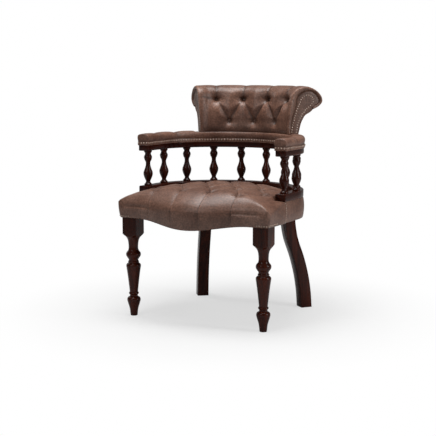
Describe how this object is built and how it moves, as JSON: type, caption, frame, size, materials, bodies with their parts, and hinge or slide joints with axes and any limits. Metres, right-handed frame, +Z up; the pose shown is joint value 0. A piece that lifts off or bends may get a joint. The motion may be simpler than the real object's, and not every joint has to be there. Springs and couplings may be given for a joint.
{
  "type": "captains chair",
  "caption": "Low-backed armchair with a buttoned leather seat and scrolled back, a curved arm rail on turned spindles, turned front legs and sabre back legs.",
  "frame": {"origin": "on the floor, under the middle of the chair's bounding box", "axes": "+Z up, -Y towards the front of the chair, +X towards its left arm as seen by someone facing it from the front, on the right of that view"},
  "size_m": [0.6156, 0.6352, 0.8129],
  "materials": {
    "mahogany": "gloss polish",
    "beech": "plain sawn",
    "leather": "satin antiqued",
    "foam": "matt",
    "canvas": "matt weave",
    "dust_cloth": "matt",
    "steel": "zinc plated",
    "nail_brass": "antiqued satin"
  },
  "bodies": {
    "root": {"front_leg_right": "mahogany", "front_leg_left": "mahogany", "back_leg_right": "mahogany", "back_leg_left": "mahogany", "seat_rail_front": "beech", "seat_rail_right": "beech", "seat_rail_left": "beech", "seat_rail_back": "beech", "corner_block_right": "beech", "corner_block_left": "beech", "dust_cover": "dust_cloth", "seat_deck": "canvas", "seat_foam": "foam", "seat_cover": "leather", "seat_band": "leather", "hoop_dowel_01": "beech", "hoop_dowel_02": "beech", "hoop_dowel_03": "beech", "hoop_dowel_04": "beech", "hoop_dowel_05": "beech", "hoop_dowel_06": "beech", "lower_hoop": "mahogany", "spindle_01": "mahogany", "spindle_02": "mahogany", "spindle_03": "mahogany", "spindle_04": "mahogany", "spindle_05": "mahogany", "spindle_06": "mahogany", "spindle_07": "mahogany", "spindle_08": "mahogany", "spindle_09": "mahogany", "spindle_10": "mahogany", "upper_hoop": "mahogany", "arm_pad_foam": "foam", "arm_pad_cover": "leather", "back_bolt_01": "steel", "back_bolt_02": "steel", "back_bolt_03": "steel", "back_rail_foot": "beech", "back_rail_top": "beech", "back_panel": "beech", "back_board_right": "beech", "back_board_left": "beech", "back_cover": "leather", "back_outside": "leather", "back_facing_right": "leather", "back_facing_left": "leather", "back_button_01": "leather", "back_button_02": "leather", "back_button_03": "leather", "back_button_04": "leather", "back_button_05": "leather", "back_button_06": "leather", "back_button_07": "leather"}
  },
  "joints": []
}
